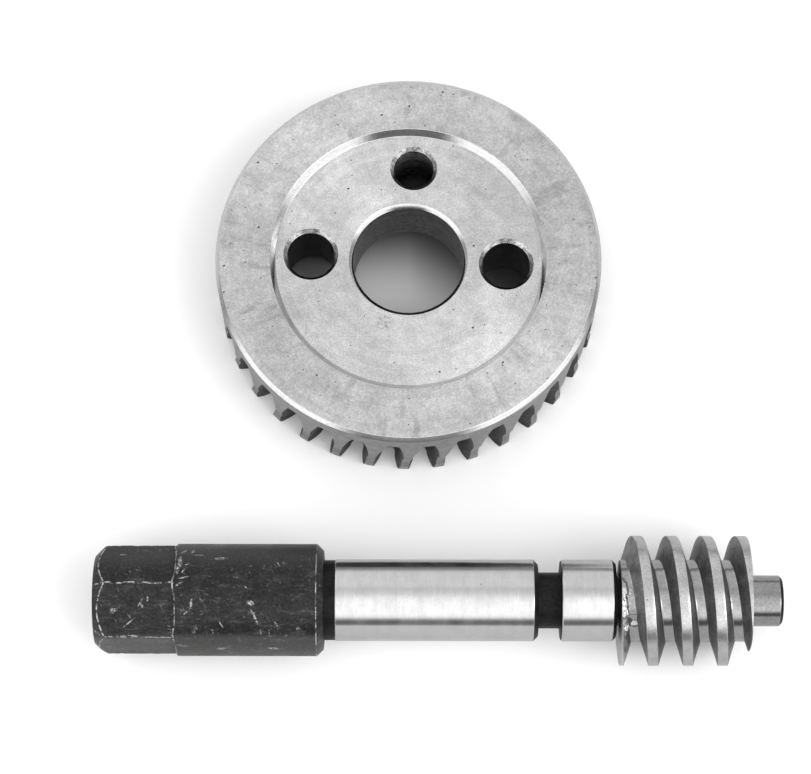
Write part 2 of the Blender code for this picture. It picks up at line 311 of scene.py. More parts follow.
def turned(outline, segments, centre, capped=True):
    """A turned body about a vertical line. The outline is a list of (radius, height)."""
    x, y = centre
    angles = full_turn(segments)
    rings = []
    for radius, height in outline:
        rings.append([(x + radius * math.cos(a), y + radius * math.sin(a), height) for a in angles])
    return loft(rings, capped)


def bump_at(distance, size):
    """A smooth bump's height at a distance from its middle."""
    return math.exp(-((distance / size) ** 2))


# Worm wheel


def thread_width(radius):
    return CREST_WIDTH + 2 * (WORM_RADIUS - radius) * math.tan(math.radians(FLANK_ANGLE))


def gap_floor(height):
    return CENTRE_DISTANCE - math.sqrt(HOB_TIP_RADIUS**2 - (height - MESH_HEIGHT) ** 2)


def gap_edge(radius, height, side):
    """Angle of one edge of a tooth gap: the furthest that the hob's flank reaches as the wheel turns."""
    rise = height - MESH_HEIGHT
    reached = []
    for step in range(-HOB_SWEEP_STEPS, HOB_SWEEP_STEPS + 1):
        place = math.radians(HOB_SWEEP_ANGLE) * step / HOB_SWEEP_STEPS
        across = CENTRE_DISTANCE - radius * math.cos(place)
        from_hob_axis = math.hypot(across, rise)
        if from_hob_axis > HOB_TIP_RADIUS + 0.001:
            continue
        lead_shift = AXIAL_PITCH * math.atan2(rise, across) / (2 * math.pi)
        half_width = (thread_width(from_hob_axis) + HOB_EXTRA_WIDTH) / 2
        hob_travel = radius * math.sin(place) - lead_shift - side * half_width
        reached.append(side * (place - hob_travel / PITCH_RADIUS))
    return side * max(reached)


def gap_rings():
    """One tooth gap as rings of (radius, angle, height). Every gap of the wheel is a turned copy."""
    outside = WHEEL_RADIUS + 0.5
    bottom = -1.0
    top = MESH_HEIGHT + math.sqrt(HOB_TIP_RADIUS**2 - (CENTRE_DISTANCE - outside) ** 2) - 0.01
    rings = []
    for level in range(GAP_LEVELS + 1):
        share = math.sin(0.5 * math.pi * level / GAP_LEVELS)
        height = bottom + (top - bottom) * share
        floor = gap_floor(height)
        radii = [floor + (outside - floor) * step / (FLANK_POINTS - 1) for step in range(FLANK_POINTS)]
        ring = [(radius, gap_edge(radius, height, -1), height) for radius in reversed(radii)]
        rings.append(ring + [(radius, gap_edge(radius, height, 1), height) for radius in radii])
    return rings


def tooth_gap(rings, turn, number):
    """The cutter for one gap, with the slight unevenness that a cutter leaves."""
    uneven = []
    for ring in rings:
        row = []
        for radius, angle, height in ring:
            wobble = HOB_UNEVENNESS * noise.noise(Vector((radius * 0.9, height * 0.6, number * 7.3)))
            a = turn + angle + wobble / radius
            row.append((WHEEL_X + radius * math.sin(a), WHEEL_Y - radius * math.cos(a), height))
        uneven.append(row)
    return loft(uneven)


def wheel_outline():
    throat_angle = math.acos((CENTRE_DISTANCE - WHEEL_RADIUS) / HOB_ROOT_RADIUS)
    throat = []
    for step in range(THROAT_STEPS + 1):
        angle = throat_angle * (2 * step / THROAT_STEPS - 1)
        radius = CENTRE_DISTANCE - HOB_ROOT_RADIUS * math.cos(angle)
        throat.append((radius, MESH_HEIGHT + HOB_ROOT_RADIUS * math.sin(angle)))
    recess_floor = WHEEL_THICKNESS - RECESS_DEPTH
    rim = [(RECESS_RADIUS, 0.0), (WHEEL_RADIUS - EDGE_BREAK, 0.0), (WHEEL_RADIUS, EDGE_BREAK)]
    face = [
        (WHEEL_RADIUS, GAP_TOP + 0.3),
        (WHEEL_RADIUS, WHEEL_THICKNESS - RIM_CHAMFER),
        (WHEEL_RADIUS - RIM_CHAMFER, WHEEL_THICKNESS),
        (RECESS_RADIUS, WHEEL_THICKNESS),
        (RECESS_RADIUS - RECESS_WALL_RUN, recess_floor),
        (BORE_RADIUS + BORE_CHAMFER, recess_floor),
        (BORE_RADIUS, recess_floor - BORE_CHAMFER),
        (BORE_RADIUS, BACK_RECESS_DEPTH + EDGE_BREAK),
        (BORE_RADIUS + EDGE_BREAK, BACK_RECESS_DEPTH),
        (RECESS_RADIUS, BACK_RECESS_DEPTH),
    ]
    return round_corners(rim + throat + face, WHEEL_ROUNDING, closed=True)


def hole_centre(quarter):
    angle = math.radians(90.0 * quarter + HOLE_TURN)
    return WHEEL_X + HOLE_CIRCLE_RADIUS * math.cos(angle), WHEEL_Y + HOLE_CIRCLE_RADIUS * math.sin(angle)


def face_hole(quarter, radius, wall=()):
    """Cutter for a hole through the web. The wall has any (radius, height) points between its two ends."""
    mouth = WHEEL_THICKNESS - RECESS_DEPTH
    lower = [(radius + EDGE_BREAK + 1.0, BACK_RECESS_DEPTH - 1.0), (radius, BACK_RECESS_DEPTH + EDGE_BREAK)]
    upper = [(radius, mouth - HOLE_CHAMFER), (radius + HOLE_CHAMFER + 1.0, mouth + 1.0)]
    return turned([*lower, *wall, *upper], HOLE_SEGMENTS, hole_centre(quarter))


def tapped_hole(quarter):
    """A tapped hole. The thread's turns are separate rings, which look the same from its mouth."""
    wall = []
    height = BACK_RECESS_DEPTH + 2 * EDGE_BREAK
    while height < WHEEL_THICKNESS - RECESS_DEPTH - HOLE_CHAMFER - TAPPED_THREAD_PITCH:
        wall.append((TAPPED_HOLE_RADIUS, height))
        wall.append((TAPPED_HOLE_RADIUS + TAPPED_THREAD_DEPTH, height + 0.45 * TAPPED_THREAD_PITCH))
        wall.append((TAPPED_HOLE_RADIUS, height + 0.9 * TAPPED_THREAD_PITCH))
        height += TAPPED_THREAD_PITCH
    return face_hole(quarter, TAPPED_HOLE_RADIUS, wall)


FACE, TEETH_CUT, HOLE_WALL, CHAMFER, RIM, HOLE_MOUTH = range(6)


def wheel_material_at(centre, normal):
    """Which of the wheel's materials a face takes."""
    outwards = Vector((centre.x - WHEEL_X, centre.y - WHEEL_Y, 0.0))
    radius = outwards.length
    level = abs(normal.z) > 0.95
    if radius > RECESS_RADIUS + 0.5:
        if radius > WHEEL_RADIUS - 0.45 and normal.dot(outwards) / radius > 0.75:
            return RIM
        if centre.z > GAP_TOP:
            return FACE if level else CHAMFER
        return FACE if level and centre.z < 0.1 else TEETH_CUT
    if centre.z < WHEEL_THICKNESS / 2 and (normal.z < -0.2 or radius > RECESS_RADIUS - 0.5):
        return RIM
    if level:
        return FACE
    if normal.z > 0.3 and centre.z > WHEEL_THICKNESS - RECESS_DEPTH - HOLE_CHAMFER - 0.1:
        return CHAMFER if radius < BORE_RADIUS + 1.5 or radius > RECESS_RADIUS - 2.0 else HOLE_MOUTH
    return HOLE_WALL


def make_wheel():
    wheel = make_object(
        "steel_worm_wheel", turned(wheel_outline(), WHEEL_SEGMENTS, (WHEEL_X, WHEEL_Y), capped=False)
    )
    one_tooth = 2 * math.pi / TEETH
    first_gap = math.radians(TOOTH_TURN) + one_tooth / 2
    rings = gap_rings()
    gaps = join_shapes([tooth_gap(rings, first_gap + k * one_tooth, k) for k in range(TEETH)])
    holes = [face_hole(0, BOLT_HOLE_RADIUS), tapped_hole(1), face_hole(2, BOLT_HOLE_RADIUS)]
    carve(wheel, [gaps, join_shapes(holes)])
    materials = [
        turned_steel(),
        hobbed_steel("hobbed_teeth", 0.11),
        hole_wall_steel(),
        chamfer_steel(),
        rim_steel(),
        hole_mouth_steel(),
    ]
    shade(wheel, materials, wheel_material_at)
    return wheel


# Worm shaft


def on_shaft(along, radius, angle):
    """A point at a place along X and at an angle in radians about the shaft, from +Y towards +Z."""
    return along, SHAFT_AXIS.y + radius * math.cos(angle), SHAFT_AXIS.z + radius * math.sin(angle)


def smooth_min(a, b, width):
    overlap = max(width - abs(a - b), 0.0) / width
    return min(a, b) - overlap * overlap * width / 4


def hex_radius(angle):
    """Distance from the axis to the hex's surface, with slightly rounded corners."""
    apothem = HEX_ACROSS_FLATS / 2
    from_flat = (angle - math.radians(HEX_CORNER_ANGLE)) % math.radians(60.0) - math.radians(30.0)
    corner = apothem / math.cos(math.radians(30.0))
    return smooth_min(apothem / math.cos(from_flat), corner - HEX_CORNER_CUT, HEX_CORNER_BLEND)


def hex_dents():
    """Small knocks on the hex's corners, as (along, angle, size, depth)."""
    chance = random.Random(11)
    dents = []
    for corner in range(6):
        angle = math.radians(HEX_CORNER_ANGLE + 60.0 * corner)
        for _ in range(DENTS_PER_CORNER):
            along = chance.uniform(HEX_START + 2.0, HEX_END - 0.5)
            dents.append((along, angle, chance.uniform(0.25, 0.6), chance.uniform(0.02, 0.07)))
    return dents


def dent_depth(along, angle, radius, dents):
    depth = 0.0
    for dent_along, dent_angle, size, deep in dents:
        if abs(along - dent_along) > 3 * size:
            continue
        turn = (angle - dent_angle + math.pi) % (2 * math.pi) - math.pi
        distance = math.hypot(along - dent_along, turn * radius)
        depth += deep * bump_at(distance, size)
    return depth


def shaft_outline():
    """The turned outline as (distance along, radius)."""
    outline = [
        (HEX_START, HEX_FACE_RADIUS),
        (HEX_START + COLLAR_RADIUS - HEX_FACE_RADIUS, COLLAR_RADIUS),
        (COLLAR_END - COLLAR_CHAMFER, COLLAR_RADIUS),
        (COLLAR_END, COLLAR_RADIUS - COLLAR_CHAMFER),
        (COLLAR_END, RELIEF_RADIUS),
        (RELIEF_END, RELIEF_RADIUS),
        (RELIEF_END + 0.1, JOURNAL_RADIUS),
        (LONG_JOURNAL_END - JOURNAL_CHAMFER, JOURNAL_RADIUS),
        (LONG_JOURNAL_END, JOURNAL_RADIUS - JOURNAL_CHAMFER),
        (LONG_JOURNAL_END, GROOVE_RADIUS),
        (GROOVE_END, GROOVE_RADIUS),
        (GROOVE_END, JOURNAL_RADIUS - 0.35),
        (GROOVE_END + 0.35, JOURNAL_RADIUS),
        (SHORT_JOURNAL_END - SHORT_JOURNAL_CHAMFER, JOURNAL_RADIUS),
        (SHORT_JOURNAL_END, JOURNAL_RADIUS - SHORT_JOURNAL_CHAMFER),
        (SHORT_JOURNAL_END, SPIGOT_RELIEF_RADIUS),
        (SHORT_JOURNAL_END + 2.5, SPIGOT_RELIEF_RADIUS),
        (SHORT_JOURNAL_END + 2.6, SPIGOT_RADIUS),
        (SPIGOT_END - SPIGOT_CHAMFER, SPIGOT_RADIUS),
        (SPIGOT_END, SPIGOT_RADIUS - SPIGOT_CHAMFER),
    ]
    return divide(round_corners(outline, SHAFT_ROUNDING), SHAFT_STRETCH)


OXIDE, GROUND, PIN = range(3)


def shaft_material_at(centre, normal):
    """Which of the shaft's materials a face takes."""
    radius = math.hypot(centre.y - SHAFT_AXIS.y, centre.z - SHAFT_AXIS.z)
    on_long = RELIEF_END < centre.x < LONG_JOURNAL_END - JOURNAL_CHAMFER
    on_short = GROOVE_END < centre.x < SHORT_JOURNAL_END - SHORT_JOURNAL_CHAMFER
    if (on_long or on_short) and radius > RELIEF_RADIUS and abs(normal.x) < 0.8:
        return GROUND
    on_pin = WORM_START < centre.x < SPIGOT_END - SPIGOT_CHAMFER
    return PIN if on_pin and abs(normal.x) < 0.3 else OXIDE


def shaft_stations():
    """The outline as (distance along, radius, whether on the hex), with the collar's sharp front edge."""
    stations = [(along, radius, along <= HEX_END) for along, radius in shaft_outline()]
    after_hex = sum(on_hex for along, radius, on_hex in stations)
    stations[after_hex:after_hex] = [
        (HEX_END, COLLAR_RADIUS, True),
        (HEX_END + 0.01, COLLAR_RADIUS - 0.07, False),
        (HEX_END + 0.08, COLLAR_RADIUS - 0.01, False),
    ]
    return stations


def make_shaft():
    dents = hex_dents()
    rings = []
    for along, radius, on_hex in shaft_stations():
        ring = []
        for angle in full_turn(SHAFT_SEGMENTS):
            reach = radius
            if on_hex:
                reach = smooth_min(radius, hex_radius(angle), HEX_END_BLEND)
                reach -= dent_depth(along, angle, radius, dents)
            ring.append(on_shaft(along, reach, angle))
        rings.append(ring)
    shaft = make_object("stepped_hex_shaft", loft(rings))
    carve(shaft, [half_moon_seat()])
    shade(shaft, [black_oxide(), ground_steel(), pin_steel()], shaft_material_at)
    return shaft


def half_moon_seat():
    """Cutter for the key's seat in the spigot, under the worm."""
    radius = KEY_DISC_RADIUS + FIT_GAP
    middle = (KEY_LOW.x + KEY_HIGH.x) / 2
    centre_z = KEY_HIGH.z - KEY_DISC_RADIUS
    angles = [math.pi * step / KEY_SEAT_STEPS for step in range(KEY_SEAT_STEPS + 1)]
    arc = [(middle + radius * math.cos(angle), centre_z + radius * math.sin(angle)) for angle in angles]
    sides = (KEY_LOW.y - FIT_GAP, KEY_HIGH.y + FIT_GAP)
    return loft([[(x, y, z) for x, z in arc] for y in sides])


# Worm


def thread_section():
    """One pitch of the thread's section as (distance along, radius), with a rounded root and crest."""
    base = thread_width(WORM_ROOT_RADIUS) / 2
    tip = CREST_WIDTH / 2
    outline = [
        (-AXIAL_PITCH / 2, WORM_ROOT_RADIUS),
        (-base, WORM_ROOT_RADIUS),
        (-tip, WORM_RADIUS),
        (tip, WORM_RADIUS),
        (base, WORM_ROOT_RADIUS),
        (AXIAL_PITCH / 2, WORM_ROOT_RADIUS),
    ]
    return divide(round_corners(outline, THREAD_ROUNDING), THREAD_STRETCH)[:-1]


def threaded_bar():
    """The threaded bar, from columns of points along it. The last column meets the first a turn on."""
    section = thread_section()
    crest = WORM_START + CREST_FROM_START
    turns = range(-3, math.ceil((WORM_END - WORM_START) / AXIAL_PITCH) + 2)
    shape = bmesh.new()
    columns = []
    for step in range(THREAD_SEGMENTS):
        share = step / THREAD_SEGMENTS
        angle = math.radians(CREST_ANGLE + 360.0 * share)
        column = []
        for turn in turns:
            middle = crest + (turn + share) * AXIAL_PITCH
            for offset, radius in section:
                column.append(shape.verts.new(on_shaft(middle + offset, radius, angle)))
        columns.append(column)
    neighbours = columns[1:] + [columns[0][len(section) :]]
    for column, after in zip(columns, neighbours):
        for row in range(min(len(column), len(after)) - 1):
            shape.faces.new((column[row], after[row], after[row + 1], column[row + 1]))
    cut_square(shape, WORM_START, -1.0)
    cut_square(shape, WORM_END, 1.0)
    return shape


def cut_square(shape, along, outwards):
    """Cuts the bar off at a place along X and closes it. outwards is the sign of the side that goes."""
    everything = shape.verts[:] + shape.edges[:] + shape.faces[:]
    line = bmesh.ops.bisect_plane(
        shape, geom=everything, plane_co=(along, 0, 0), plane_no=(outwards, 0, 0), clear_outer=True
    )
    rim = [item for item in line["geom_cut"] if isinstance(item, bmesh.types.BMEdge)]
    bmesh.ops.edgeloop_fill(shape, edges=rim)


def roughen_runout(shape):
    """An uneven ledge at the worm's left end, with two raised blobs and a pocket."""
    # Distance from the worm's end, angle about the shaft, length, breadth, height
    marks = [
        (2.1, 122.0, 1.0, 0.55, 0.50),
        (2.3, 134.0, 0.8, 0.60, -0.45),
        (0.9, 147.0, 0.5, 0.60, 0.40),
    ]
    for vertex in shape.verts:
        along = vertex.co.x - WORM_START
        across = Vector((0.0, vertex.co.y - SHAFT_AXIS.y, vertex.co.z - SHAFT_AXIS.z))
        radius = across.length
        if not -1.0 <= along <= RUNOUT_LENGTH or radius > WORM_ROOT_RADIUS + RUNOUT_HEIGHT:
            continue
        outwards = across.normalized()
        angle = math.degrees(math.atan2(across.z, across.y))
        uneven = RUNOUT_UNEVENNESS * noise.noise(vertex.co * 0.9)
        ledge_length = 0.7 + 0.012 * (angle - 80.0) + uneven
        if LEDGE_ANGLES[0] < angle < LEDGE_ANGLES[1] and along < ledge_length:
            vertex.co += outwards * (WORM_ROOT_RADIUS + LEDGE_HEIGHT + uneven - radius)
        for mark_along, mark_angle, length, breadth, height in marks:
            turn = math.radians(angle - mark_angle)
            distance = math.hypot((along - mark_along) / length, turn * radius / breadth)
            if distance < 3.0:
                vertex.co += outwards * height * bump_at(distance, 1.0)


CREST_AND_ROOT, FLANK = range(2)


def worm_material_at(centre, normal):
    """Which of the worm's materials a face takes. The ends take the flanks' one."""
    return CREST_AND_ROOT if abs(normal.x) < 0.6 else FLANK


def worm_bore(ends):
    """Cutter for the worm's bore."""
    angles = full_turn(WORM_BORE_SEGMENTS)
    return loft([[on_shaft(end, SPIGOT_RADIUS + FIT_GAP, angle) for angle in angles] for end in ends])


def keyway(ends):
    """Cutter for the key's slot, on the underside of the worm's bore."""
    front, back = KEY_LOW.y - FIT_GAP, KEY_HIGH.y + FIT_GAP
    bottom = KEY_LOW.z - FIT_GAP
    corners = [(front, SHAFT_AXIS.z), (back, SHAFT_AXIS.z), (back, bottom), (front, bottom)]
    return loft([[(end, y, z) for y, z in corners] for end in ends])


def make_worm():
    shape = threaded_bar()
    roughen_runout(shape)
    worm = make_object("right_hand_worm", shape)
    ends = (WORM_START - 1.0, WORM_END + 1.0)
    carve(worm, [worm_bore(ends), keyway(ends)])
    materials = [worm_crest_steel(), hobbed_steel("worm_flanks", 0.28, at_worm_start=True)]
    shade(worm, materials, worm_material_at)
    return worm


# Materials


class Nodes:
    """The nodes of a material or the world, with short calls for those that are used here."""

    def __init__(self, owner):
        owner.use_nodes = True
        self.owner = owner
        self.tree = owner.node_tree
        self.tree.nodes.clear()

    def put(self, socket, value):
        """Sets or links an input. A number that is linked to a colour makes a grey."""
        if isinstance(value, bpy.types.NodeSocket):
            self.tree.links.new(value, socket)
        else:
            socket.default_value = value

    def add(self, kind, inputs=None, **settings):
        node = self.tree.nodes.new(kind)
        for key, value in settings.items():
            setattr(node, key, value)
        for key, value in (inputs or {}).items():
            self.put(node.inputs[key], value)
        return node

    def math(self, operation, first, *others):
        """One operation on a value, or the same one along a row of values."""
        result = first
        for value in others or (0.0,):
            result = self.add("ShaderNodeMath", {0: result, 1: value}, operation=operation).outputs[0]
        return result

    def times(self, *values):
        return self.math("MULTIPLY", *values)

    def plus(self, *values):
        return self.math("ADD", *values)

    def minus(self, a, b):
        return self.math("SUBTRACT", a, b)

    def most(self, *values):
        return self.math("MAXIMUM", *values)

    def hypot(self, x, y):
        return self.math("SQRT", self.plus(self.math("POWER", x, 2.0), self.math("POWER", y, 2.0)))

    def angle(self, x, y):
        return self.math("ARCTAN2", y, x)

    def vector_math(self, operation, a, b=(0.0, 0.0, 0.0), output=0):
        return self.add("ShaderNodeVectorMath", {0: a, 1: b}, operation=operation).outputs[output]

    def scaled(self, vector, factors):
        return self.vector_math("MULTIPLY", vector, factors)

    def turned_about_z(self, vector, degrees):
        inputs = {"Vector": vector, "Angle": math.radians(degrees)}
        return self.add("ShaderNodeVectorRotate", inputs, rotation_type="Z_AXIS").outputs[0]

    def point(self, x, y, z=0.0):
        return self.add("ShaderNodeCombineXYZ", {0: x, 1: y, 2: z}).outputs[0]

    def parts(self, vector):
        return self.add("ShaderNodeSeparateXYZ", {0: vector}).outputs

    def noise(self, vector, scale, detail, roughness=0.5):
        inputs = {"Vector": vector, "Scale": scale, "Detail": detail, "Roughness": roughness}
        return self.add("ShaderNodeTexNoise", inputs).outputs["Fac"]

    def cells(self, vector, scale, dimensions="3D"):
        """Scattered points: a colour for each, and the distance to the nearest."""
        inputs = {"Vector": vector, "Scale": scale}
        return self.add("ShaderNodeTexVoronoi", inputs, voronoi_dimensions=dimensions).outputs

    def span(self, value, low, high, to_low=0.0, to_high=1.0):
        inputs = {"Value": value, "From Min": low, "From Max": high, "To Min": to_low, "To Max": to_high}
        return self.add("ShaderNodeMapRange", inputs, interpolation_type="SMOOTHSTEP").outputs["Result"]

    def vary(self, pattern, least, greatest):
        """A noise pattern, which seldom leaves 0.3 to 0.7, spread between two values."""
        return self.span(pattern, 0.3, 0.7, least, greatest)

    def where(self, share, outside, inside):
        """One value where the share is 0 and another where it is 1."""
        return self.span(share, 0.0, 1.0, outside, inside)

    def mix(self, share, a, b):
        """A blend of two colours."""
        node = self.add("ShaderNodeMix", data_type="RGBA")
        self.put(node.inputs["Factor"], share)
        self.put(node.inputs[6], a)
        self.put(node.inputs[7], b)
        return node.outputs[2]

    def bump(self, height, distance, strength=1.0, normal=None):
        inputs = {"Height": height, "Distance": distance * MM, "Strength": strength}
        if normal is not None:
            inputs["Normal"] = normal
        return self.add("ShaderNodeBump", inputs).outputs[0]

    def place(self, centre=(0.0, 0.0, 0.0)):
        """Position on the piece in millimetres, from a centre."""
        coordinates = self.add("ShaderNodeTexCoord").outputs["Object"]
        return self.vector_math("SUBTRACT", self.scaled(coordinates, (1 / MM,) * 3), tuple(centre))

    def rounded_normal(self, radius):
        return self.add("ShaderNodeBevel", {"Radius": radius * MM}, samples=4).outputs[0]

    def edge_wear(self, radius):
        """1 on sharp edges, 0 elsewhere, from how much a rounded normal differs from the real one."""
        real = self.add("ShaderNodeNewGeometry").outputs["Normal"]
        alike = self.vector_math("DOT_PRODUCT", self.rounded_normal(radius), real, "Value")
        return self.span(alike, 0.985, 0.80)

    def metal(self, colour, roughness, normal, **others):
        """The finished material, with any other inputs of its shader by name."""
        inputs = {"Base_Color": colour, "Roughness": roughness, "Normal": normal, "Metallic": 1.0} | others
        named = {key.replace("_", " "): value for key, value in inputs.items()}
        shader = self.add("ShaderNodeBsdfPrincipled", named)
        self.add("ShaderNodeOutputMaterial", {"Surface": shader.outputs[0]})
        return self.owner

    def turned_metal(self, axis, sheen, colour, roughness, normal):
        """Turned or ground steel, whose sheen lies across the lines round the axis."""
        tangent = self.add("ShaderNodeTangent", direction_type="RADIAL", axis=axis).outputs[0]
        sheen_inputs = {"Anisotropic": sheen, "Anisotropic_Rotation": 0.25, "Tangent": tangent}
        return self.metal(colour, roughness, normal, **sheen_inputs)


def new_material(name):
    return Nodes(bpy.data.materials.new(name))


def wheel_place(nodes):
    return nodes.place((WHEEL_X, WHEEL_Y, 0.0))


def shaft_place(nodes):
    return nodes.place((0.0, SHAFT_AXIS.y, SHAFT_AXIS.z))


def pits(nodes, place, per_mm, size, share, dimensions="3D"):
    """Scattered round pits: 1 inside a pit, 0 outside. Only this share of the possible places has one."""
    cells = nodes.cells(place, per_mm, dimensions)
    chosen = nodes.parts(cells["Color"])[0]
    near = nodes.span(cells["Distance"], size * per_mm, size * per_mm * 0.5)
    return nodes.times(near, nodes.math("LESS_THAN", chosen, share))


def turned_steel():
    """Light grey faced steel: fine rings from the lathe, faint stains and streaks, small dark pits."""
    nodes = new_material("turned_steel")
    place = wheel_place(nodes)
    x, y, z = nodes.parts(place)
    radius = nodes.hypot(x, y)
    angle = nodes.angle(x, y)
    ring_place = nodes.point(radius, nodes.times(angle, 0.6), z)
    streak_place = nodes.point(nodes.times(radius, 0.10), nodes.times(angle, 11.0), z)
    fine_rings = nodes.noise(ring_place, 5.0, 2.0, 0.7)
    broad_rings = nodes.noise(ring_place, 0.9, 3.0, 0.6)
    streak = nodes.noise(streak_place, 1.0, 4.0, 0.6)
    stain = nodes.noise(place, 0.10, 5.0, 0.62)
    cloud = nodes.noise(nodes.vector_math("ADD", place, (31.0, 7.0, 0.0)), 0.5, 5.0, 0.65)
    speckle = nodes.noise(place, 2.8, 4.0, 0.75)
    on_ring = nodes.span(radius, RECESS_RADIUS - 1.0, RECESS_RADIUS)
    streaked = nodes.times(nodes.span(streak, 0.50, 0.68), nodes.where(on_ring, 0.3, 1.0))
    large_pits = pits(nodes, place, 0.16, 0.30, 0.16, "2D")
    small_pits = pits(nodes, place, 0.33, 0.17, 0.22, "2D")
    pitted = nodes.most(large_pits, small_pits)
    grey = nodes.times(
        nodes.span(stain, 0.35, 0.62, 0.88, 1.03),
        nodes.vary(cloud, 0.90, 1.06),
        nodes.vary(speckle, 0.76, 1.17),
        nodes.span(broad_rings, 0.35, 0.65, 0.95, 1.04),
        nodes.where(streaked, 1.0, 0.79),
        nodes.where(on_ring, 0.67, 0.61),
        nodes.where(scuff_by_the_bore(nodes, place), 1.0, 0.55),
        nodes.where(pitted, 1.0, 0.22),
    )
    normal = nodes.bump(fine_rings, 0.004)
    normal = nodes.bump(nodes.times(pitted, -1.0), 0.08, 1.0, normal)
    return nodes.turned_metal("Z", 0.8, grey, nodes.vary(stain, 0.28, 0.38), normal)


def scuff_by_the_bore(nodes, place):
    """1 on a small dark scuff in the recess, in front of the bore and a little to its left."""
    middle = (-4.9, -13.6, WHEEL_THICKNESS - RECESS_DEPTH)
    distance = nodes.vector_math("DISTANCE", place, middle, "Value")
    broken = nodes.span(nodes.noise(place, 1.3, 5.0, 0.8), 0.50, 0.56)
    return nodes.times(nodes.span(distance, 2.2, 0.8), broken)


def chamfer_steel():
    """The wheel's chamfers and the recess's wall: smoother than the faces, with nicked edges."""
    nodes = new_material("chamfer_steel")
    place = wheel_place(nodes)
    rings = nodes.noise(nodes.scaled(place, (0.15, 0.15, 4.0)), 1.0, 3.0, 0.6)
    nicks = nodes.noise(place, 1.6, 4.0, 0.7)
    grey = nodes.times(nodes.vary(rings, 0.58, 0.68), nodes.span(nicks, 0.35, 0.6, 0.90, 1.05))
    overlay_share = nodes.times(nodes.edge_wear(0.15), nodes.span(nicks, 0.40, 0.60))
    colour = nodes.mix(overlay_share, grey, (0.14, 0.14, 0.14, 1.0))
    return nodes.metal(colour, 0.12, nodes.bump(nicks, 0.003, 0.5))


def rim_steel():
    """The wheel's outside and its back recess: turned, darker than the faces, with lines round it."""
    nodes = new_material("rim_steel")
    place = wheel_place(nodes)
    lines = nodes.noise(nodes.scaled(place, (0.12, 0.12, 3.0)), 1.0, 4.0, 0.65)
    mottle = nodes.noise(place, 0.8, 4.0, 0.65)
    speckle = nodes.noise(place, 3.5, 3.0, 0.7)
    grey = nodes.times(
        nodes.vary(lines, 0.85, 1.12),
        nodes.vary(mottle, 0.8, 1.15),
        nodes.vary(speckle, 0.85, 1.12),
        0.34,
    )
    colour = nodes.mix(nodes.times(nodes.edge_wear(0.15), 0.5), grey, (0.6, 0.6, 0.59, 1.0))
    normal = nodes.bump(lines, 0.02, 0.6, nodes.rounded_normal(0.12))
    return nodes.metal(colour, 0.30, normal)


def hole_mouth_steel():
    """The countersunk mouths of the face holes: torn by a chattering tool, bright and dark in turn."""
    nodes = new_material("hole_mouth_steel")
    place = wheel_place(nodes)
    tears = nodes.noise(place, 0.75, 5.0, 0.7)
    fine = nodes.noise(place, 3.0, 3.0, 0.7)
    grey = nodes.times(nodes.span(tears, 0.36, 0.64, 0.20, 0.58), nodes.vary(fine, 0.75, 1.1))
    colour = nodes.mix(nodes.times(nodes.edge_wear(0.2), 0.7), grey, (0.08, 0.08, 0.08, 1.0))
    return nodes.metal(colour, 0.20, nodes.bump(fine, 0.012, 0.8))


def burred_start(nodes):
    """Close to 1 on the bright torn metal at the worm's left end, 0 elsewhere."""
    place = nodes.place((WORM_START, SHAFT_AXIS.y, SHAFT_AXIS.z))
    x, y = nodes.parts(place)[:2]
    ragged = nodes.plus(x, nodes.vary(nodes.noise(place, 0.9, 4.0, 0.75), -1.1, 1.1))
    in_front = nodes.span(y, 1.5, 0.0)
    return nodes.times(nodes.span(ragged, 1.05, 0.85), in_front, 0.8)


def hobbed_steel(name, brightness, at_worm_start=False):
    """Cut steel: dark, rough, with feed marks, and bright where an edge has rubbed."""
    nodes = new_material(name)
    place = nodes.place()
    marks = nodes.noise(nodes.scaled(place, (1.0, 1.0, 3.5)), 1.6, 4.0, 0.65)
    grain = nodes.noise(place, 4.5, 3.0, 0.6)
    patch = nodes.noise(place, 0.35, 2.0, 0.5)
    grey = nodes.times(
        nodes.vary(marks, 0.55, 1.4),
        nodes.vary(grain, 0.75, 1.2),
        nodes.span(patch, 0.35, 0.65, 0.8, 1.2),
        brightness,
    )
    overlay_share = nodes.times(nodes.edge_wear(0.22), nodes.span(nodes.noise(place, 1.3, 3.0), 0.42, 0.6))
    if at_worm_start:
        overlay_share = nodes.most(overlay_share, burred_start(nodes))
    colour = nodes.mix(overlay_share, grey, (0.72, 0.72, 0.71, 1.0))
    normal = nodes.bump(marks, 0.05, 0.6, nodes.rounded_normal(0.12))
    normal = nodes.bump(grain, 0.015, 0.6, normal)
    return nodes.metal(colour, nodes.vary(grain, 0.42, 0.56), normal)


def hole_wall_steel():
    """Bored and drilled walls: dark, streaked round the hole, pitted. The bore is the lighter one."""
    nodes = new_material("hole_wall_steel")
    place = wheel_place(nodes)
    radius = nodes.hypot(*nodes.parts(place)[:2])
    streak = nodes.noise(nodes.scaled(place, (0.12, 0.12, 2.2)), 1.0, 4.0, 0.6)
    mottle = nodes.noise(place, 1.1, 4.0, 0.7)
    grey = nodes.times(
        nodes.vary(streak, 0.65, 1.3),
        nodes.span(mottle, 0.35, 0.6, 0.6, 1.15),
        nodes.span(radius, BORE_RADIUS + 0.5, BORE_RADIUS + 2.0, 0.135, 0.065),
    )
    flecks = nodes.span(nodes.noise(place, 2.5, 4.0, 0.8), 0.66, 0.72)
    grey = nodes.plus(grey, nodes.times(flecks, 0.3))
    normal = nodes.bump(streak, 0.02, 0.7)
    normal = nodes.bump(mottle, 0.05, 0.5, normal)
    return nodes.metal(grey, 0.40, normal)


